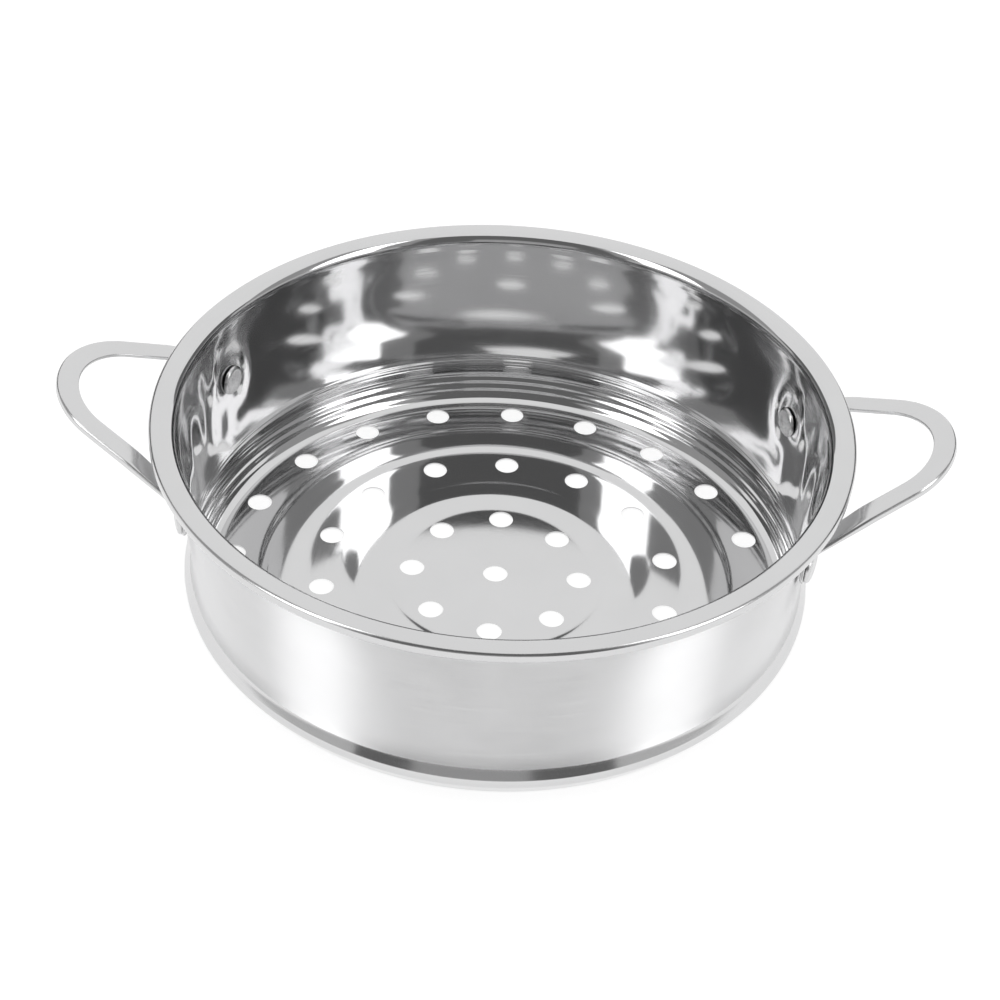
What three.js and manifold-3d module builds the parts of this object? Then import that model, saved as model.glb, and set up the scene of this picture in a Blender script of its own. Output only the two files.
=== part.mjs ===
// Steamer insert: a drawn steel basket with a perforated base, two strap handles and four rivets.
// Millimetres, +Z up. The origin is the centre of the base underside and +X runs through the handles.
import * as THREE from 'three';
import { mergeVertices } from 'three/addons/utils/BufferGeometryUtils.js';
import Module from 'manifold-3d';

const wasm = await Module();
wasm.setup();

// Driving dimensions of the basket
const SHEET = 0.7;
const BODY_HEIGHT = 81;
const RIM_RADIUS = 127;
const RIM_INNER_ROUND = 4.6;
const RIM_OUTER_ROUND = 1.7;
const RIM_LIP_HEIGHT = 3.4;
const WALL_TOP_RADIUS = 118.5;
const WALL_FOOT_RADIUS = 115;
const WALL_FOOT_HEIGHT = 18.7;
const BEAD_RADIUS = 119.4;
const BEAD_HEIGHT = 11.6;
const CONE_FOOT_RADIUS = 113.7;
const CONE_FOOT_HEIGHT = 2.4;
const BASE_FLAT_RADIUS = 110;
const BODY_SEGMENTS = 60;

// Driving dimensions of the base: raised ribs between the rings of steam holes
const RIBS = [
  { inner: 40, innerTop: 45.7, outerTop: 52, outer: 57.8, height: 1.2 },
  { inner: 74.3, innerTop: 80, outerTop: 88.9, outer: 92.7, height: 1.6 },
];
const STEAM_HOLE_RADIUS = 4.8;
const HOLE_RINGS = [
  { radius: 32.5, count: 8 },
  { radius: 67.5, count: 14 },
  { radius: 102.5, count: 20 },
];
const HOLE_SEGMENTS = 12;

// Driving dimensions of the handles and rivets
const GAP = 0.3;
const STRAP_WIDTH = 8;
const STRAP_THICKNESS = 1.5;
const STRAP_EDGE_DEPTH = 2.7;
const STRAP_TILT = THREE.MathUtils.degToRad(21.7);
const LOOP_RADIUS = 27.3;
const HANDLE_REACH = 161.6;
const HANDLE_TOP = 84.6;
const BEND_X = 128.9;
const BEND_Y = 32.5;
const LEG_FOOT_HEIGHT = 60.8;
const LOOP_STEPS = 8;
const TAB_HALF_WIDTH = 6.5;
const TAB_EDGE_STEP = 0.02;
const TAB_END_TURN = THREE.MathUtils.degToRad(75);
const TAB_END_STEPS = 4;
const RIVET_ANGLE = THREE.MathUtils.degToRad(21);
const RIVET_HEIGHT = 53.5;
const RIVET_SHANK_RADIUS = 2.5;
const RIVET_HEAD_RADIUS = 5.9;
const RIVET_HEAD_HEIGHT = 1.6;
const RIVET_SEGMENTS = 20;

// Rivet head from its edge to its crown, as shares of its radius and height
const HEAD_PROFILE = [
  { radius: 1, height: 0 },
  { radius: 0.97, height: 0.45 },
  { radius: 0.82, height: 0.9 },
  { radius: 0, height: 1 },
];

// Derived sizes
const FACET_FACTOR = Math.cos(Math.PI / BODY_SEGMENTS);
const RIM_TOP_INNER_RADIUS = WALL_TOP_RADIUS - SHEET + RIM_INNER_ROUND;
const RIM_TOP_OUTER_RADIUS = RIM_RADIUS - RIM_OUTER_ROUND;
const WALL_TOP_HEIGHT = BODY_HEIGHT - RIM_INNER_ROUND;
const TAB_INNER = wallRadiusAt(LEG_FOOT_HEIGHT) * FACET_FACTOR + GAP;
const TAB_OUTER = TAB_INNER + STRAP_THICKNESS;
const HEAD_FOOT_HEIGHT = RIVET_HEIGHT - RIVET_HEAD_RADIUS;
const RIVET_INNER_SEAT = (wallRadiusAt(HEAD_FOOT_HEIGHT) - SHEET) * FACET_FACTOR - GAP;
const RIVET_OUTER_SEAT = TAB_OUTER + GAP;
const HALF_STRAP = STRAP_WIDTH / 2;
const TAB_EDGE_DEPTH = STRAP_THICKNESS + TAB_EDGE_STEP;
const PEG_LENGTH = 40;

// Outer radius of the wall at a height above the base
function wallRadiusAt(height) {
  const share = (height - WALL_FOOT_HEIGHT) / (WALL_TOP_HEIGHT - WALL_FOOT_HEIGHT);
  return THREE.MathUtils.lerp(WALL_FOOT_RADIUS, WALL_TOP_RADIUS, share);
}

// Stainless steel of one surface finish
function steel(color, roughness) {
  return new THREE.MeshStandardMaterial({ color, roughness, metalness: 1 });
}

// Closed geometry as a solid that can be joined and cut
function solid(geometry) {
  const source = geometry.clone();
  source.deleteAttribute('normal');
  source.deleteAttribute('uv');
  const merged = mergeVertices(source);
  const vertProperties = new Float32Array(merged.attributes.position.array);
  const triVerts = new Uint32Array(merged.index.array);
  return new wasm.Manifold(new wasm.Mesh({ numProp: 3, vertProperties, triVerts }));
}

// Named mesh of a finished solid
function meshOf(name, shape, material) {
  const { vertProperties, triVerts } = shape.getMesh();
  const geometry = new THREE.BufferGeometry();
  geometry.setAttribute('position', new THREE.BufferAttribute(vertProperties, 3));
  geometry.setIndex(new THREE.BufferAttribute(triVerts, 1));
  geometry.computeVertexNormals();
  const mesh = new THREE.Mesh(geometry, material);
  mesh.name = name;
  return mesh;
}

// Closed profile of a sheet: the given skin and the same skin offset to its left
function sheetProfile(skin, thickness) {
  const leftNormal = (a, b) => new THREE.Vector2(a.y - b.y, b.x - a.x).normalize();
  const offset = skin.map((point, i) => {
    const before = leftNormal(skin[Math.max(i - 1, 0)], skin[Math.max(i, 1)]);
    const after = leftNormal(skin[Math.min(i, skin.length - 2)], skin[Math.min(i + 1, skin.length - 1)]);
    const mitre = before.clone().add(after).divideScalar(1 + before.dot(after));
    return point.clone().addScaledVector(mitre, thickness);
  });
  return [...skin, ...offset.reverse(), skin[0]];
}

// Underside and outside of the basket, from the centre hole to the end of the rim lip
function bodySkin() {
  const skin = new THREE.Path();
  skin.moveTo(STEAM_HOLE_RADIUS, 0);
  for (const rib of RIBS) {
    skin.lineTo(rib.inner, 0);
    skin.lineTo(rib.innerTop, rib.height);
    skin.lineTo(rib.outerTop, rib.height);
    skin.lineTo(rib.outer, 0);
  }
  skin.lineTo(BASE_FLAT_RADIUS, 0);
  skin.lineTo(CONE_FOOT_RADIUS, CONE_FOOT_HEIGHT);
  skin.lineTo(BEAD_RADIUS, BEAD_HEIGHT);
  skin.lineTo(WALL_FOOT_RADIUS, WALL_FOOT_HEIGHT);
  const innerRound = RIM_INNER_ROUND - SHEET;
  const outerRound = RIM_OUTER_ROUND - SHEET;
  skin.absarc(RIM_TOP_INNER_RADIUS, WALL_TOP_HEIGHT, innerRound, Math.PI, Math.PI / 2, true);
  skin.absarc(RIM_TOP_OUTER_RADIUS, BODY_HEIGHT - RIM_OUTER_ROUND, outerRound, Math.PI / 2, 0, true);
  skin.lineTo(RIM_RADIUS - SHEET, BODY_HEIGHT - RIM_LIP_HEIGHT);
  return skin.getPoints(2);
}

// Upright cylinder that cuts a round hole, centred on the origin
function peg(radius) {
  const geometry = new THREE.CylinderGeometry(radius, radius, PEG_LENGTH, HOLE_SEGMENTS);
  geometry.rotateX(Math.PI / 2);
  return geometry;
}

// Peg through the wall and a tab at one rivet place
function rivetHole(angle) {
  const geometry = peg(RIVET_SHANK_RADIUS + GAP);
  geometry.rotateY(Math.PI / 2);
  geometry.translate(TAB_INNER, 0, RIVET_HEIGHT);
  geometry.rotateZ(angle);
  return solid(geometry);
}

// Basket with its steam holes and rivet holes
function makeBody() {
  const shell = new THREE.LatheGeometry(sheetProfile(bodySkin(), SHEET), BODY_SEGMENTS);
  shell.rotateX(Math.PI / 2);
  let body = solid(shell);
  for (const ring of HOLE_RINGS) {
    for (let i = 0; i < ring.count; i++) {
      const hole = peg(STEAM_HOLE_RADIUS);
      hole.translate(0, ring.radius, 0);
      hole.rotateZ((i * 2 * Math.PI) / ring.count);
      body = body.subtract(solid(hole));
    }
  }
  for (const angle of [RIVET_ANGLE, -RIVET_ANGLE, Math.PI - RIVET_ANGLE, Math.PI + RIVET_ANGLE]) {
    body = body.subtract(rivetHole(angle));
  }
  return body;
}

// Direction up at a bend between two faces, long enough to keep the strap's thickness
function mitre(first, second) {
  const sum = first.clone().add(second);
  return sum.multiplyScalar(2 / sum.lengthSq());
}

// Stations of the strap from the tip of the loop to the end of its rear tab
// Each has the middle of the top face, the directions across and up, half the width and the edge depth
function strapStations() {
  const slope = new THREE.Vector3(Math.cos(STRAP_TILT), 0, Math.sin(STRAP_TILT));
  const side = new THREE.Vector3(0, 1, 0);
  const loopUp = slope.clone().cross(side);
  const tip = new THREE.Vector3(HANDLE_REACH, 0, HANDLE_TOP);
  const middle = tip.addScaledVector(slope, -(LOOP_RADIUS + HALF_STRAP));
  const bendAlong = (BEND_X - middle.x) / slope.x;
  const armTurn = Math.acos(LOOP_RADIUS / Math.hypot(bendAlong, BEND_Y));
  const loopAngle = Math.atan2(BEND_Y, bendAlong) - armTurn;
  const stations = [];
  for (let i = 0; i <= LOOP_STEPS; i++) {
    const angle = (loopAngle * i) / LOOP_STEPS;
    const across = slope.clone().multiplyScalar(Math.cos(angle)).addScaledVector(side, Math.sin(angle));
    const centre = middle.clone().addScaledVector(across, LOOP_RADIUS);
    stations.push({ centre, across, up: loopUp, half: HALF_STRAP, edge: STRAP_EDGE_DEPTH });
  }
  const armAcross = stations.at(-1).across;
  const bend = middle.clone().addScaledVector(slope, bendAlong).addScaledVector(side, BEND_Y);
  const wallNormal = new THREE.Vector3(Math.cos(RIVET_ANGLE), Math.sin(RIVET_ANGLE), 0);
  const across = new THREE.Vector3(-wallNormal.y, wallNormal.x, 0);
  const foot = wallNormal.clone().multiplyScalar(TAB_INNER).setZ(LEG_FOOT_HEIGHT);
  const legUp = armAcross.clone().cross(foot.clone().sub(bend)).normalize();
  const tabUp = wallNormal.clone().negate();
  const half = TAB_HALF_WIDTH;
  const armUp = mitre(loopUp, legUp);
  stations.push({ centre: bend, across: armAcross, up: armUp, half: HALF_STRAP, edge: STRAP_EDGE_DEPTH });
  stations.push({ centre: foot, across, up: mitre(legUp, tabUp), half, edge: TAB_EDGE_DEPTH });
  for (let i = 0; i <= TAB_END_STEPS; i++) {
    const angle = (TAB_END_TURN * i) / TAB_END_STEPS;
    const centre = foot.clone().setZ(RIVET_HEIGHT - half * Math.sin(angle));
    stations.push({ centre, across, up: tabUp, half: half * Math.cos(angle), edge: TAB_EDGE_DEPTH });
  }
  return stations;
}

// Corners of the strap at a station, with its outer edge turned down, starting at the inner corner
function strapSection({ centre, across, up, half, edge }) {
  const inner = half - STRAP_THICKNESS;
  const outline = [
    [inner, -STRAP_THICKNESS],
    [-half, -STRAP_THICKNESS],
    [-half, 0],
    [half, 0],
    [half, -edge],
    [inner, -edge],
  ];
  return outline.map(([a, u]) => centre.clone().addScaledVector(across, a).addScaledVector(up, u));
}

// Handle on the +X side: the strap from its front tab round the loop to its rear tab
function makeHandle() {
  const rear = strapStations().map(strapSection);
  const mirror = (point) => new THREE.Vector3(point.x, -point.y, point.z);
  const front = rear.slice(1).reverse().map((section) => section.map(mirror));
  const sections = [...front, ...rear];
  const corners = sections[0].length;
  const lastSection = (sections.length - 1) * corners;
  const index = [];
  for (let c = 1; c < corners - 1; c++) {
    index.push(0, c + 1, c);
    index.push(lastSection, lastSection + c, lastSection + c + 1);
  }
  for (let start = 0; start < lastSection; start += corners) {
    for (let c = 0; c < corners; c++) {
      const a = start + c;
      const b = start + ((c + 1) % corners);
      index.push(a, b, b + corners, a, b + corners, a + corners);
    }
  }
  const geometry = new THREE.BufferGeometry().setFromPoints(sections.flat());
  geometry.setIndex(index);
  return solid(geometry).subtract(rivetHole(RIVET_ANGLE)).subtract(rivetHole(-RIVET_ANGLE));
}

// Profile of a rivet head on its seat, from its edge to its crown
function rivetHead(seat, side) {
  return HEAD_PROFILE.map((share) => {
    const along = seat + side * RIVET_HEAD_HEIGHT * share.height;
    return new THREE.Vector2(RIVET_HEAD_RADIUS * share.radius, along);
  });
}

// Rivet along +X: a flat head inside the wall, a shank and a flat head on the tab
function rivetGeometry() {
  const profile = [
    ...rivetHead(RIVET_INNER_SEAT, -1).reverse(),
    new THREE.Vector2(RIVET_SHANK_RADIUS, RIVET_INNER_SEAT),
    new THREE.Vector2(RIVET_SHANK_RADIUS, RIVET_OUTER_SEAT),
    ...rivetHead(RIVET_OUTER_SEAT, 1),
  ];
  const geometry = new THREE.LatheGeometry(profile, RIVET_SEGMENTS);
  geometry.rotateZ(-Math.PI / 2);
  geometry.translate(0, 0, RIVET_HEIGHT);
  return geometry;
}

// The assembly
const steamer = new THREE.Group();
steamer.add(meshOf('basket_body', makeBody(), steel(0xc8c9ca, 0.2)));

const handleShape = makeHandle();
for (const side of [{ name: 'right', turn: 0 }, { name: 'left', turn: Math.PI }]) {
  const group = new THREE.Group();
  group.rotation.z = side.turn;
  group.add(meshOf(`handle_${side.name}`, handleShape, steel(0xd0d1d2, 0.3)));
  for (const end of [1, -1]) {
    const isRear = (side.turn === 0) === (end > 0);
    const rivet = new THREE.Mesh(rivetGeometry(), steel(0xc4c5c6, 0.22));
    rivet.name = `rivet_${side.name}_${isRear ? 'rear' : 'front'}`;
    rivet.rotation.z = end * RIVET_ANGLE;
    group.add(rivet);
  }
  steamer.add(group);
}

export default steamer;
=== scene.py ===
"""Looks of the steamer insert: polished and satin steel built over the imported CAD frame."""

from math import acos, atan2, ceil, cos, exp, hypot, pi, radians, sin, tau

import bmesh
import bpy
from mathutils import Matrix, Quaternion, Vector


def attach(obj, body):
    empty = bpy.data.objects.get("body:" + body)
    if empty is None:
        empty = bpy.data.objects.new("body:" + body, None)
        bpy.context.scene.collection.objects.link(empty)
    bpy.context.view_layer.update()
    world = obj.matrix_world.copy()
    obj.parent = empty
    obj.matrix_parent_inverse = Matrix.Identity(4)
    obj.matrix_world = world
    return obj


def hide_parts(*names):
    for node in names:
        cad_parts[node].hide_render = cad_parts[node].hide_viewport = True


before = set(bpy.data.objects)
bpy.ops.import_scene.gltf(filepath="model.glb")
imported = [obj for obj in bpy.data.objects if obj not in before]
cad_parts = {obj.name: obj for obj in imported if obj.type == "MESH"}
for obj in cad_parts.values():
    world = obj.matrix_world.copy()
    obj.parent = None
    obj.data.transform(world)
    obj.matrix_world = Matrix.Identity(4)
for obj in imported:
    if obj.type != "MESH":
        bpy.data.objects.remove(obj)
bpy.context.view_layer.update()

# Sizes of the basket, in millimetres as in the CAD source
MM = 0.001
GAP = 0.3
SHEET = 0.7
BODY_HEIGHT = 81.0
RIM_RADIUS = 127.0
RIM_INNER_ROUND = 4.6
RIM_OUTER_ROUND = 1.1
RIM_LIP_HEIGHT = 3.4
RIM_HEM_DEPTH = 2.6
RIM_HEM_ROUND = 0.5
RIM_HEM_RISE = 0.2
WALL_TOP_RADIUS = 118.5
WALL_FOOT_RADIUS = 115.0
WALL_FOOT_HEIGHT = 18.7
WALL_FOOT_ROUND = 4.0
BASE_FLAT_RADIUS = 110.0
STEAM_HOLE_RADIUS = 4.8
PEG_LENGTH = 7.0
WALL_ROWS = 28
BODY_SEGMENTS = 240
HOLE_SEGMENTS = 40

# Bead and foot of the cone as (radius, height), with the rounding at each
BEAD = (119.4, 11.6)
BEAD_ROUND = 2.4
CONE_FOOT = (113.7, 2.4)
CONE_ROUND = 2.1

# Ribs of the base as (inner foot, inner top, outer top, outer foot, height), and the rounded share of flanks
RIBS = ((40.0, 45.7, 52.0, 57.8, 1.2), (74.3, 80.0, 88.9, 92.7, 1.6))
RIB_ROUND_SHARE = 0.48

# Rings of steam holes as (radius, count)
HOLE_RINGS = ((32.5, 8), (67.5, 14), (102.5, 20))

# Where the rows of the wall, the satin finish and the finish of the rim begin
WALL_ROWS_START = WALL_FOOT_HEIGHT + 1.5 * WALL_FOOT_ROUND
SATIN_START = WALL_FOOT_HEIGHT - 0.6 * WALL_FOOT_ROUND
RIM_FINISH_RADIUS = WALL_TOP_RADIUS + 2.0

# Material slots of the basket
MIRROR, SATIN, RIM, FOOT = range(4)

# Sizes of the handles and rivets
STRAP_WIDTH = 8.0
STRAP_THICKNESS = 1.5
STRAP_EDGE_DEPTH = 2.7
STRAP_TILT = radians(21.7)
STRAP_ROUND_STEPS = 3
LOOP_RADIUS = 27.3
HANDLE_REACH = 161.6
HANDLE_TOP = 84.6
BEND_X = 128.9
BEND_Y = 32.5
LEG_FOOT_HEIGHT = 60.8
LOOP_STEPS = 20
BEND_REACH = 2.2
BEND_STEPS = 6
TAB_HALF_WIDTH = 6.5
TAB_EDGE_STEP = 0.02
TAB_EDGE_DEPTH = STRAP_THICKNESS + TAB_EDGE_STEP
TAB_INNER = 117.7
TAB_STEPS = 10
TAB_QUARTER_STEPS = 10.5
RIVET_ANGLE = radians(21.0)
RIVET_HEIGHT = 53.5
RIVET_SHANK_RADIUS = 2.5
RIVET_HEAD_RADIUS = 5.9
RIVET_HEAD_HEIGHT = 1.6
RIVET_INNER_SEAT = 115.6
RIVET_OUTER_SEAT = TAB_INNER + STRAP_THICKNESS + GAP
RIVET_SEGMENTS = 48

# Rounding of the strap's section: inner edge below and above, then outer edge above and below
STRAP_ROUNDS = (0.3, 0.5, 1.3, 0.2)

# Ring and face of a rivet head as shares of its (radius, height), from its edge to its crown
RIVET_HEAD_RING = ((0.98, 0.0), (1.0, 0.2), (0.97, 0.48), (0.88, 0.78), (0.8, 0.84))
RIVET_HEAD_FACE = ((0.74, 0.8), (0.4, 0.9), (0.0, 0.94))

# Dent of the wall at a rivet, and the low ring round it as a distance and a share of the depth
DENT_DEPTH = 0.7
DENT_REACH = 9.0
DENT_RING = 15.0
DENT_RING_SHARE = 0.5

# Soft pressed rings inside the foot of the wall, as (depth, pitch) of two waves, and where they fade
RING_WAVES = ((0.12, 2.6), (0.05, 4.3))
RING_FOOT = (1.2, 3.0)
RING_TOP = (17.0, 25.0)
RING_STEP = 0.3

# Uneven wall near a handle, as (depth, pitch round the wall, pitch up the wall) of its waves, and its fades
RIPPLE_WAVES = ((0.12, 17.0, 90.0), (0.1, 26.0, -38.0), (0.06, 60.0, 21.0))
RIPPLE_SIDE = (38.0, 66.0)
RIPPLE_FOOT = (22.0, 38.0)
RIPPLE_TOP = (66.0, 76.0)

# Meshing: points that count as one, smooth angle, steps of a rounding, and straights with support points
MERGE_DISTANCE = 0.0000001
DISTINCT_STEP = 0.001
SHARP_ANGLE = radians(35)
ROUND_STEPS = 5
SUPPORT_MARGIN = 0.4
SUPPORTED_LENGTH = 2.4

# Steel: greys, noise density per metre, bump depth in metres and the spans of noise that are used
STEEL_GREY = 0.66
SATIN_GREY = 0.92
SMUDGED_TINT = (0.965, 0.965, 0.97)
CLEAN_TINT = (1.0, 1.0, 1.005)
GRAIN_DENSITY = 2600.0
GRAIN_DEPTH = 0.00002
SMUDGE_DENSITY = 34.0
SMUDGE_SPAN = (0.3, 0.7)
ROUGHNESS_SPAN = (0.1, 0.4)
WAVE_DENSITY = 22.0
WAVE_DEPTH = 0.001

# Camera of the photograph
CAMERA_PLACE = (0.01820, -0.53668, 0.48210)
CAMERA_AIM = (0.00023, 0.00001, 0.03768)
CAMERA_ROLL = radians(3.19)
CAMERA_LENS = 66.74
CAMERA_SENSOR = 36.0

# Floor and surround
FLOOR_REACH = 3.0
FLOOR_DROP = 0.0002
FLOOR_GREY = 0.5
FLOOR_ROUGHNESS = 0.9
FLOOR_LIFT = 0.72
SOFT_LIGHT = 0.8

# Cards that show only in reflections: the glow of each kind
CARD_GLOWS = {
    "studio_dark": 0.16,
    "soft_box": 3.0,
    "studio_dim": 0.4,
    "studio_side": 0.6,
    "soft_box_surround": 0.38,
}

# Cards as (name, glow, azimuths and elevations in degrees seen from the camera side, distance in metres)
CARDS = (
    ("dark_side", "studio_dark", (-105, 105), (1, 66), 2.6),
    ("left_gap", "studio_dark", (-150, -105), (0, 25), 2.6),
    ("right_gap", "studio_dark", (105, 150), (0, 25), 2.6),
    ("left_surround", "soft_box_surround", (-105, -34), (14, 66), 2.5),
    ("right_surround", "soft_box_surround", (38, 105), (14, 66), 2.5),
    ("left_soft_box", "soft_box", (-68, -44), (14, 62), 2.4),
    ("right_soft_box", "soft_box", (52, 76), (14, 62), 2.4),
    ("left_low_side", "studio_side", (-110, -38), (0, 14), 2.4),
    ("right_low_side", "studio_side", (42, 110), (0, 14), 2.4),
    ("front_gap", "studio_dim", (-20, 16), (1, 20), 2.4),
)
CARD_ROWS = 8
CARD_COLUMNS = 24


# Small tools

def add_object(name, mesh, materials):
    """Link a new mesh object with its materials."""
    obj = bpy.data.objects.new(name, mesh)
    bpy.context.scene.collection.objects.link(obj)
    for material in materials:
        mesh.materials.append(material)
    return obj


def mesh_from(name, vertices, faces, face_slots=None):
    """Mesh from millimetre points, smooth apart from its sharp edges."""
    mesh = bpy.data.meshes.new(name)
    mesh.from_pydata([Vector(v) * MM for v in vertices], [], faces)
    if face_slots:
        mesh.polygons.foreach_set("material_index", face_slots)
    mesh.validate()
    finish_mesh(mesh)
    return mesh


def finish_mesh(mesh):
    """Merged points, outward faces, smooth shading and sharp edges past an angle."""
    work = bmesh.new()
    work.from_mesh(mesh)
    bmesh.ops.remove_doubles(work, verts=work.verts, dist=MERGE_DISTANCE)
    bmesh.ops.recalc_face_normals(work, faces=work.faces)
    work.to_mesh(mesh)
    work.free()
    mesh.shade_smooth()
    mesh.set_sharp_from_angle(angle=SHARP_ANGLE)


def rounded_path(corners, steps=ROUND_STEPS):
    """Polyline through (x, y, round) corners, each rounded over that length on both sides."""
    points = [Vector(corners[0][:2])]
    for before, corner, after in zip(corners, corners[1:], corners[2:]):
        middle = Vector(corner[:2])
        start = middle + (Vector(before[:2]) - middle).normalized() * corner[2]
        end = middle + (Vector(after[:2]) - middle).normalized() * corner[2]
        for k in range(steps + 1):
            share = k / steps
            points.append(start.lerp(middle, share).lerp(middle.lerp(end, share), share))
    points.append(Vector(corners[-1][:2]))
    return points


def with_supports(points):
    """The polyline with extra points near the ends of each long straight, which keep it flat when shaded."""
    supported = [points[0]]
    for start, end in zip(points, points[1:]):
        if (end - start).length > SUPPORTED_LENGTH:
            step = (end - start).normalized() * SUPPORT_MARGIN
            supported += [start + step, end - step]
        supported.append(end)
    return supported


def offset_path(points, distance):
    """The polyline moved to its left by a distance."""
    moved = []
    last = len(points) - 1
    for i, point in enumerate(points):
        before = (points[max(i, 1)] - points[max(i, 1) - 1]).normalized()
        after = (points[min(i, last - 1) + 1] - points[min(i, last - 1)]).normalized()
        left = Vector((-before.y - after.y, before.x + after.x)) / (1 + before.dot(after))
        moved.append(point + left * distance)
    return moved


# Materials

class Nodes:
    """Short way to add and link the nodes of one material."""

    def __init__(self, name):
        self.material = bpy.data.materials.new(name)
        self.material.use_nodes = True
        self.tree = self.material.node_tree
        self.shader = self.tree.nodes["Principled BSDF"]

    def add(self, kind, inputs=None, **settings):
        """New node with its settings, and with each input set or linked."""
        node = self.tree.nodes.new(kind)
        for key, value in settings.items():
            setattr(node, key, value)
        for key, value in (inputs or {}).items():
            if isinstance(value, bpy.types.NodeSocket):
                self.tree.links.new(value, node.inputs[key])
            else:
                node.inputs[key].default_value = value
        return node

    def link(self, socket, name):
        """Link a socket to a named input of the shader."""
        self.tree.links.new(socket, self.shader.inputs[name])

    def turned_coordinates(self, across, around):
        """Coordinates that run fast across the lathe marks and slowly along them."""
        place = self.add("ShaderNodeTexCoord").outputs["Object"]
        split = self.add("ShaderNodeSeparateXYZ", {"Vector": place})
        x, y, z = (split.outputs[axis] for axis in "XYZ")
        flat = self.add("ShaderNodeCombineXYZ", {"X": x, "Y": y})
        radius = self.add("ShaderNodeVectorMath", {0: flat.outputs[0]}, operation="LENGTH")
        angle = self.add("ShaderNodeMath", {0: y, 1: x}, operation="ARCTAN2")
        away = self.add("ShaderNodeMath", {0: angle.outputs[0]}, operation="ABSOLUTE")
        inputs = {"X": radius.outputs["Value"], "Y": away.outputs[0], "Z": z}
        turned = self.add("ShaderNodeCombineXYZ", inputs)
        inputs = {0: turned.outputs[0], 1: (across, around, across)}
        scaled = self.add("ShaderNodeVectorMath", inputs, operation="MULTIPLY")
        return place, scaled.outputs[0]

    def noise(self, vector, scale, detail):
        """Noise of one density and fineness."""
        inputs = {"Vector": vector, "Scale": scale, "Detail": detail}
        return self.add("ShaderNodeTexNoise", inputs).outputs["Fac"]

    def spread(self, value, span, low=0.0, high=1.0):
        """A value mapped from a span of it to the range from low to high."""
        inputs = {"Value": value, "From Min": span[0], "From Max": span[1], "To Min": low, "To Max": high}
        return self.add("ShaderNodeMapRange", inputs).outputs["Result"]

    def bump(self, height, strength, distance, normal=None):
        """Normal of a surface with a height on it, over another normal if there is one."""
        inputs = {"Height": height, "Strength": strength, "Distance": distance}
        if normal:
            inputs["Normal"] = normal
        return self.add("ShaderNodeBump", inputs).outputs["Normal"]


def steel(name, grey, roughness, grain, wave=0.0, around=6.0):
    """Steel with turned grain, faint smudges and, if wanted, slow waves.

    roughness is its (low, high) range, grain and wave are bump strengths, and around is how fast the grain
    changes along its turn.
    """
    nodes = Nodes(name)
    place, turned = nodes.turned_coordinates(GRAIN_DENSITY, around)
    marks = nodes.noise(turned, scale=1.0, detail=4.0)
    smudges = nodes.noise(place, SMUDGE_DENSITY, detail=5.0)
    tone = nodes.spread(smudges, SMUDGE_SPAN)
    colour = nodes.add("ShaderNodeMix", {"Factor": tone}, data_type="RGBA")
    colour.inputs["A"].default_value = (*(grey * tint for tint in SMUDGED_TINT), 1.0)
    colour.inputs["B"].default_value = (*(grey * tint for tint in CLEAN_TINT), 1.0)
    rough = nodes.add("ShaderNodeMath", {0: marks, 1: smudges}, operation="MULTIPLY")
    nodes.link(colour.outputs["Result"], "Base Color")
    nodes.link(nodes.spread(rough.outputs[0], ROUGHNESS_SPAN, *roughness), "Roughness")
    normal = nodes.bump(marks, grain, GRAIN_DEPTH)
    if wave:
        normal = nodes.bump(nodes.noise(place, WAVE_DENSITY, detail=1.0), wave, WAVE_DEPTH, normal)
    nodes.link(normal, "Normal")
    nodes.shader.inputs["Metallic"].default_value = 1.0
    return nodes


def make_materials():
    """The finishes of the part by name."""
    mirror = steel("mirror_finish", STEEL_GREY, (0.055, 0.11), 0.06, wave=0.17)
    foot = steel("foot_finish", STEEL_GREY, (0.09, 0.16), 0.1)
    satin = steel("satin_finish", SATIN_GREY, (0.39, 0.47), 0.25)
    satin.shader.inputs["Anisotropic"].default_value = 1.0
    satin.shader.inputs["Anisotropic Rotation"].default_value = 0.25
    tangent = satin.add("ShaderNodeTangent", direction_type="RADIAL", axis="Z")
    satin.link(tangent.outputs[0], "Tangent")
    rim = steel("rim_finish", STEEL_GREY, (0.14, 0.24), 0.15)
    handle = steel("strap_finish", STEEL_GREY, (0.16, 0.26), 0.1, around=400.0)
    rivet = steel("rivet_finish", STEEL_GREY, (0.22, 0.34), 0.08, around=900.0)
    return {n.material.name: n.material for n in (mirror, foot, satin, rim, handle, rivet)}


# Basket

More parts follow.
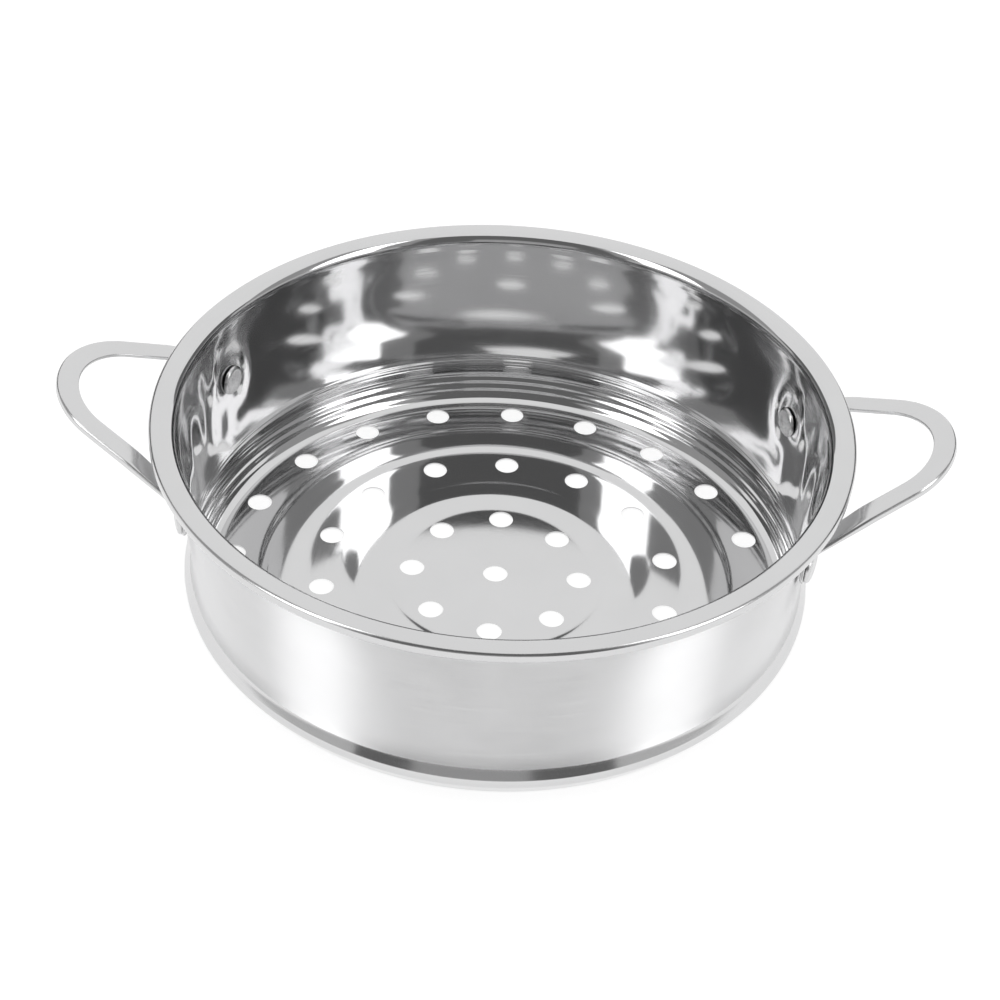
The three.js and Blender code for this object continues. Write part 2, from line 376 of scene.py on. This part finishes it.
def basket_skin():
    """Underside and outside of the sheet, from the centre hole to the hem of the rim."""
    corners = [(STEAM_HOLE_RADIUS, 0.0, 0.0)]
    for inner, inner_top, outer_top, outer, height in RIBS:
        inner_round = RIB_ROUND_SHARE * (inner_top - inner)
        outer_round = RIB_ROUND_SHARE * (outer - outer_top)
        corners += [(inner, 0.0, inner_round), (inner_top, height, inner_round)]
        corners += [(outer_top, height, outer_round), (outer, 0.0, outer_round)]
    corners += [(BASE_FLAT_RADIUS, 0.0, CONE_ROUND), (*CONE_FOOT, CONE_ROUND), (*BEAD, BEAD_ROUND)]
    corners.append((WALL_FOOT_RADIUS, WALL_FOOT_HEIGHT, WALL_FOOT_ROUND))
    flange = BODY_HEIGHT - SHEET
    for row in range(WALL_ROWS):
        height = WALL_ROWS_START + (flange - WALL_ROWS_START - RIM_INNER_ROUND) * row / WALL_ROWS
        corners.append((wall_radius(height), height, 0.0))
    lip = RIM_RADIUS - SHEET
    lip_foot = BODY_HEIGHT - RIM_LIP_HEIGHT
    corners += [(WALL_TOP_RADIUS, flange, RIM_INNER_ROUND - SHEET), (lip, flange, RIM_OUTER_ROUND)]
    corners += [(lip, lip_foot, RIM_HEM_ROUND), (lip - RIM_HEM_DEPTH, lip_foot + RIM_HEM_RISE, 0.0)]
    path = rounded_path(corners)
    steps = zip(path, path[1:])
    distinct = [path[0]]
    distinct += [point for before, point in steps if (point - before).length > DISTINCT_STEP]
    return with_supports(distinct)


def wall_radius(height):
    """Outer radius of the wall at a height."""
    share = (height - WALL_FOOT_HEIGHT) / (BODY_HEIGHT - RIM_INNER_ROUND - WALL_FOOT_HEIGHT)
    return WALL_FOOT_RADIUS + (WALL_TOP_RADIUS - WALL_FOOT_RADIUS) * share


def rise(value, start, end):
    """Smooth step from 0 at start to 1 at end."""
    share = min(max((value - start) / (end - start), 0.0), 1.0)
    return share * share * (3 - 2 * share)


def dented(x, y, z):
    """Point of the wall pressed in a little round each rivet and uneven near the handles."""
    radius = hypot(x, y)
    if z < WALL_FOOT_HEIGHT:
        return x, y, z
    angle = atan2(abs(y), abs(x))
    away = hypot((angle - RIVET_ANGLE) * radius, z - RIVET_HEIGHT)
    dent = exp(-((away / DENT_REACH) ** 2))
    ring = exp(-(((away - DENT_RING) / DENT_REACH) ** 2))
    press = DENT_DEPTH * (dent - DENT_RING_SHARE * ring)
    scale = 1 - (press + side_ripple(atan2(y, abs(x)) * radius, z)) / radius
    return x * scale, y * scale, z


def side_ripple(along, z):
    """Depth of the uneven wall at a distance round the wall from the middle of a handle."""
    share = (1 - rise(abs(along), *RIPPLE_SIDE)) * rise(z, *RIPPLE_FOOT) * (1 - rise(z, *RIPPLE_TOP))
    waves = (depth * sin(tau * (along / across + z / up)) for depth, across, up in RIPPLE_WAVES)
    return share * sum(waves)


def ringed(path):
    """The inside path with the soft rings pressed round the foot of the wall."""
    points = []
    for start, end in zip(path, path[1:]):
        at_foot = start.x > BASE_FLAT_RADIUS - CONE_ROUND
        has_rings = at_foot and start.y < RING_TOP[1] and end.y > RING_FOOT[0]
        steps = ceil((end - start).length / RING_STEP) if has_rings else 1
        along = (end - start).normalized()
        left = Vector((-along.y, along.x))
        for k in range(steps):
            point = start.lerp(end, k / steps)
            share = rise(point.y, *RING_FOOT) * (1 - rise(point.y, *RING_TOP)) if has_rings else 0.0
            depth = sum(wave * sin(tau * point.y / pitch) for wave, pitch in RING_WAVES)
            points.append(point + left * share * depth)
    return points + [path[-1]]


def finish_slot(a, b, outside):
    """Material slot of a stretch of the profile."""
    low, high = min(a.y, b.y), max(a.y, b.y)
    if low > BODY_HEIGHT - RIM_INNER_ROUND and max(a.x, b.x) > RIM_FINISH_RADIUS:
        return RIM
    if outside and low >= SATIN_START and high <= BODY_HEIGHT:
        return SATIN
    if outside and low > CONE_FOOT[1]:
        return FOOT
    return MIRROR


def make_basket(materials):
    """Shell turned from its profile, with the steam holes cut through the base."""
    outside = basket_skin()
    inside = ringed(offset_path(outside, SHEET))
    profile = outside + inside[::-1]
    count = len(profile)
    vertices = []
    for step in range(BODY_SEGMENTS):
        angle = tau * step / BODY_SEGMENTS
        vertices += [dented(p.x * cos(angle), p.x * sin(angle), p.y) for p in profile]
    faces, slots = [], []
    for step in range(BODY_SEGMENTS):
        this, following = step * count, (step + 1) % BODY_SEGMENTS * count
        for i in range(count):
            j = (i + 1) % count
            faces.append((this + i, following + i, following + j, this + j))
            slots.append(finish_slot(profile[i], profile[j], i < len(outside)))
    mesh = mesh_from("basket", vertices, faces, slots)
    finishes = ("mirror_finish", "satin_finish", "rim_finish", "foot_finish")
    basket = add_object("basket", mesh, [materials[finish] for finish in finishes])
    cutter = add_object("steam_hole_cutter", hole_cutter(), [materials["mirror_finish"]])
    cut = basket.modifiers.new("steam_holes", "BOOLEAN")
    cut.operation = "DIFFERENCE"
    cut.solver = "EXACT"
    cut.object = cutter
    shaped = basket.evaluated_get(bpy.context.evaluated_depsgraph_get())
    basket.data = bpy.data.meshes.new_from_object(shaped)
    basket.modifiers.clear()
    bpy.data.objects.remove(cutter)
    finish_mesh(basket.data)
    return basket


def hole_cutter():
    """One mesh of all the pegs that cut the steam holes."""
    work = bmesh.new()
    for ring_radius, holes in HOLE_RINGS:
        for hole in range(holes):
            angle = pi / 2 + tau * hole / holes
            middle = Vector((ring_radius * cos(angle), ring_radius * sin(angle), 0.0)) * MM
            bmesh.ops.create_cone(
                work,
                cap_ends=True,
                segments=HOLE_SEGMENTS,
                depth=PEG_LENGTH * MM,
                radius1=STEAM_HOLE_RADIUS * MM,
                radius2=STEAM_HOLE_RADIUS * MM,
                matrix=Matrix.Translation(middle),
            )
    mesh = bpy.data.meshes.new("steam_hole_cutter")
    work.to_mesh(mesh)
    work.free()
    return mesh


# Handles

def strap_section(half, edge):
    """Outline of the strap's section as (across, up), flat on top with its outer edge turned down."""
    inner = half - STRAP_THICKNESS
    corners = [(-half, -STRAP_THICKNESS), (-half, 0.0), (half, 0.0), (half, -edge)]
    rounded = [(*corner, size) for corner, size in zip(corners, STRAP_ROUNDS)]
    ends = (inner, -STRAP_THICKNESS, 0.0), (inner, -edge, 0.0)
    return rounded_path([ends[0], *rounded, ends[1]], STRAP_ROUND_STEPS)


def strap_half():
    """Stations of the strap from the tip of the right handle to its rear tab.

    Each is its place, the reach to the outer edge, the direction up and the depth of the edge.
    """
    slope = Vector((cos(STRAP_TILT), 0.0, sin(STRAP_TILT)))
    side = Vector((0.0, 1.0, 0.0))
    down = Vector((0.0, 0.0, -1.0))
    loop_up = slope.cross(side)
    half = STRAP_WIDTH / 2
    middle = Vector((HANDLE_REACH, 0.0, HANDLE_TOP)) - slope * (LOOP_RADIUS + half)
    bend_along = (BEND_X - middle.x) / slope.x
    loop_angle = atan2(BEND_Y, bend_along) - acos(LOOP_RADIUS / hypot(bend_along, BEND_Y))
    stations = []
    for k in range(LOOP_STEPS + 1):
        angle = loop_angle * k / LOOP_STEPS
        out = slope * cos(angle) + side * sin(angle)
        stations.append((middle + out * LOOP_RADIUS, out * half, loop_up, STRAP_EDGE_DEPTH))
    bend = middle + slope * bend_along + side * BEND_Y
    outward = Vector((cos(RIVET_ANGLE), sin(RIVET_ANGLE), 0.0))
    foot = outward * TAB_INNER - down * LEG_FOOT_HEIGHT
    leg_up = out.cross(foot - bend).normalized()
    arm_reach = out * half
    tab_reach = Vector((-outward.y, outward.x, 0.0)) * TAB_HALF_WIDTH
    leg_share = BEND_REACH / (foot - bend).length
    leg_start, leg_end = bend.lerp(foot, leg_share), foot.lerp(bend, leg_share)
    arm_end = bend + (stations[-1][0] - bend).normalized() * BEND_REACH
    tab_top = foot + down * BEND_REACH
    bend_reaches = (arm_reach, arm_reach.lerp(tab_reach, leg_share))
    foot_reaches = (tab_reach.lerp(arm_reach, leg_share), tab_reach)
    stations += bent(arm_end, bend, leg_start, bend_reaches, (loop_up, leg_up), STRAP_EDGE_DEPTH)
    stations += bent(leg_end, foot, tab_top, foot_reaches, (leg_up, -outward), TAB_EDGE_DEPTH)
    for k in range(TAB_STEPS + 1):
        angle = pi / 2 * k / TAB_QUARTER_STEPS
        place = outward * TAB_INNER - down * (RIVET_HEIGHT - TAB_HALF_WIDTH * sin(angle))
        stations.append((place, tab_reach * cos(angle), -outward, TAB_EDGE_DEPTH))
    return stations


def bent(start, corner, end, reaches, ups, edge):
    """Stations of the strap round one bend."""
    stations = []
    for k in range(BEND_STEPS + 1):
        share = k / BEND_STEPS
        place = start.lerp(corner, share).lerp(corner.lerp(end, share), share)
        reach = reaches[0].lerp(reaches[1], share)
        up = ups[0].lerp(ups[1], share).normalized()
        stations.append((place, reach, up, edge))
    return stations


def make_handle(name, facing, materials):
    """Strap loop skinned over its stations, facing +1 for the right side and -1 for the left."""
    rings = []
    for place, reach, up, edge in strap_half():
        across = reach.normalized()
        rings.append([place + across * a + up * u for a, u in strap_section(reach.length, edge)])
    mirrored = [[Vector((p.x, -p.y, p.z)) for p in ring] for ring in rings[:0:-1]]
    rings = mirrored + rings
    count = len(rings[0])
    vertices = [(p.x * facing, p.y * facing, p.z) for ring in rings for p in ring]
    faces = []
    for row in range(len(rings) - 1):
        for i in range(count):
            j = (i + 1) % count
            this, following = row * count, (row + 1) * count
            faces.append((this + i, this + j, following + j, following + i))
    last = (len(rings) - 1) * count
    faces.append(tuple(range(count)))
    faces.append(tuple(last + i for i in reversed(range(count))))
    return add_object(name, mesh_from(name, vertices, faces), [materials["strap_finish"]])


# Rivets

def rivet_head(seat, side):
    """Profile of a rivet head as (radius, distance along the axis), from its edge to its crown."""
    shares = RIVET_HEAD_RING + RIVET_HEAD_FACE
    return [(RIVET_HEAD_RADIUS * r, seat + side * RIVET_HEAD_HEIGHT * h) for r, h in shares]


def make_rivet(name, angle, materials):
    """Rivet through the wall and a tab, with a flat head and a ring on it at each end."""
    profile = rivet_head(RIVET_INNER_SEAT, -1)[::-1]
    profile += [(RIVET_SHANK_RADIUS, RIVET_INNER_SEAT), (RIVET_SHANK_RADIUS, RIVET_OUTER_SEAT)]
    profile += rivet_head(RIVET_OUTER_SEAT, 1)
    spin = Matrix.Rotation(angle, 3, "Z")
    vertices = []
    for radius, along in profile:
        for step in range(RIVET_SEGMENTS):
            turn = tau * step / RIVET_SEGMENTS
            local = Vector((along, radius * cos(turn), RIVET_HEIGHT + radius * sin(turn)))
            vertices.append(spin @ local)
    faces = []
    for row in range(len(profile) - 1):
        for step in range(RIVET_SEGMENTS):
            following = (step + 1) % RIVET_SEGMENTS
            low, high = row * RIVET_SEGMENTS, (row + 1) * RIVET_SEGMENTS
            faces.append((low + step, low + following, high + following, high + step))
    return add_object(name, mesh_from(name, vertices, faces), [materials["rivet_finish"]])


# Studio

def glow(name, strength):
    """Plain white light of one strength."""
    nodes = Nodes(name)
    nodes.tree.nodes.remove(nodes.shader)
    light = nodes.add("ShaderNodeEmission", {"Color": (1.0, 1.0, 1.0, 1.0), "Strength": strength})
    output = nodes.tree.nodes["Material Output"]
    nodes.tree.links.new(light.outputs[0], output.inputs["Surface"])
    return nodes.material


def sky_card(name, azimuths, elevations, distance, material):
    """Curved card round the object, in degrees from the camera side, seen only in reflections."""
    vertices, faces = [], []
    for r in range(CARD_ROWS + 1):
        elevation = radians(elevations[0] + (elevations[1] - elevations[0]) * r / CARD_ROWS)
        for c in range(CARD_COLUMNS + 1):
            azimuth = radians(azimuths[0] + (azimuths[1] - azimuths[0]) * c / CARD_COLUMNS)
            aside, ahead = sin(azimuth) * cos(elevation), -cos(azimuth) * cos(elevation)
            vertices.append(Vector((aside, ahead, sin(elevation))) * (distance / MM))
    for r in range(CARD_ROWS):
        for c in range(CARD_COLUMNS):
            low = r * (CARD_COLUMNS + 1) + c
            high = low + CARD_COLUMNS + 1
            faces.append((low, low + 1, high + 1, high))
    card = add_object(name, mesh_from(name, vertices, faces), [material])
    card.visible_camera = False
    card.visible_diffuse = False
    card.visible_shadow = False


def seen_directly(tree):
    """1 for what the camera, a reflection or glass shows, and 0 for soft light."""
    path = tree.nodes.new("ShaderNodeLightPath")
    total = path.outputs["Is Camera Ray"]
    for ray in ("Is Glossy Ray", "Is Transmission Ray"):
        joined = tree.nodes.new("ShaderNodeMath")
        joined.operation = "MAXIMUM"
        tree.links.new(total, joined.inputs[0])
        tree.links.new(path.outputs[ray], joined.inputs[1])
        total = joined.outputs[0]
    return total


def make_floor():
    """White floor that keeps a faint shadow."""
    nodes = Nodes("studio_floor")
    nodes.shader.inputs["Base Color"].default_value = (FLOOR_GREY, FLOOR_GREY, FLOOR_GREY, 1.0)
    nodes.shader.inputs["Roughness"].default_value = FLOOR_ROUGHNESS
    nodes.shader.inputs["Specular IOR Level"].default_value = 0.0
    nodes.shader.inputs["Emission Color"].default_value = (1.0, 1.0, 1.0, 1.0)
    lift = nodes.add("ShaderNodeMath", {0: seen_directly(nodes.tree), 1: FLOOR_LIFT}, operation="MULTIPLY")
    nodes.link(lift.outputs[0], "Emission Strength")
    reach = FLOOR_REACH / MM
    corners = [(-reach, -reach, 0.0), (reach, -reach, 0.0), (reach, reach, 0.0), (-reach, reach, 0.0)]
    floor = add_object("floor", mesh_from("floor", corners, [(0, 1, 2, 3)]), [nodes.material])
    floor.location.z = -FLOOR_DROP


def make_world():
    """White surround, also in reflections, with a little less soft light."""
    world = bpy.data.worlds.new("studio")
    world.use_nodes = True
    background = world.node_tree.nodes["Background"]
    background.inputs["Color"].default_value = (1.0, 1.0, 1.0, 1.0)
    level = world.node_tree.nodes.new("ShaderNodeMapRange")
    level.inputs["To Min"].default_value = SOFT_LIGHT
    world.node_tree.links.new(seen_directly(world.node_tree), level.inputs["Value"])
    world.node_tree.links.new(level.outputs["Result"], background.inputs["Strength"])
    bpy.context.scene.world = world


def make_studio():
    """Floor, surround, a dark camera side and two soft boxes in it."""
    make_floor()
    make_world()
    glows = {name: glow(name, strength) for name, strength in CARD_GLOWS.items()}
    for name, light, azimuths, elevations, distance in CARDS:
        sky_card(name, azimuths, elevations, distance, glows[light])
    bpy.context.scene.view_settings.view_transform = "Standard"


def make_camera():
    """Camera of the photograph."""
    camera = bpy.data.objects.new("camera", bpy.data.cameras.new("camera"))
    bpy.context.scene.collection.objects.link(camera)
    camera.data.sensor_width = CAMERA_SENSOR
    camera.data.lens = CAMERA_LENS
    camera.location = CAMERA_PLACE
    look = (Vector(CAMERA_AIM) - Vector(CAMERA_PLACE)).to_track_quat("-Z", "Y")
    camera.rotation_mode = "QUATERNION"
    camera.rotation_quaternion = look @ Quaternion((0.0, 0.0, 1.0), CAMERA_ROLL)
    bpy.context.scene.camera = camera


# The part

def place_piece(piece, node):
    """Let a finished piece stand for its CAD node."""
    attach(piece, "root")
    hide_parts(node)


materials = make_materials()
place_piece(make_basket(materials), "basket_body")
for side, facing in (("right", 1), ("left", -1)):
    place_piece(make_handle(f"{side}_strap_handle", facing, materials), f"handle_{side}")
    for end, rear in (("rear", 1), ("front", -1)):
        rivet_angle = rear * RIVET_ANGLE if facing > 0 else pi - rear * RIVET_ANGLE
        rivet = make_rivet(f"{side}_{end}_rivet", rivet_angle, materials)
        place_piece(rivet, f"rivet_{side}_{end}")

make_studio()
make_camera()
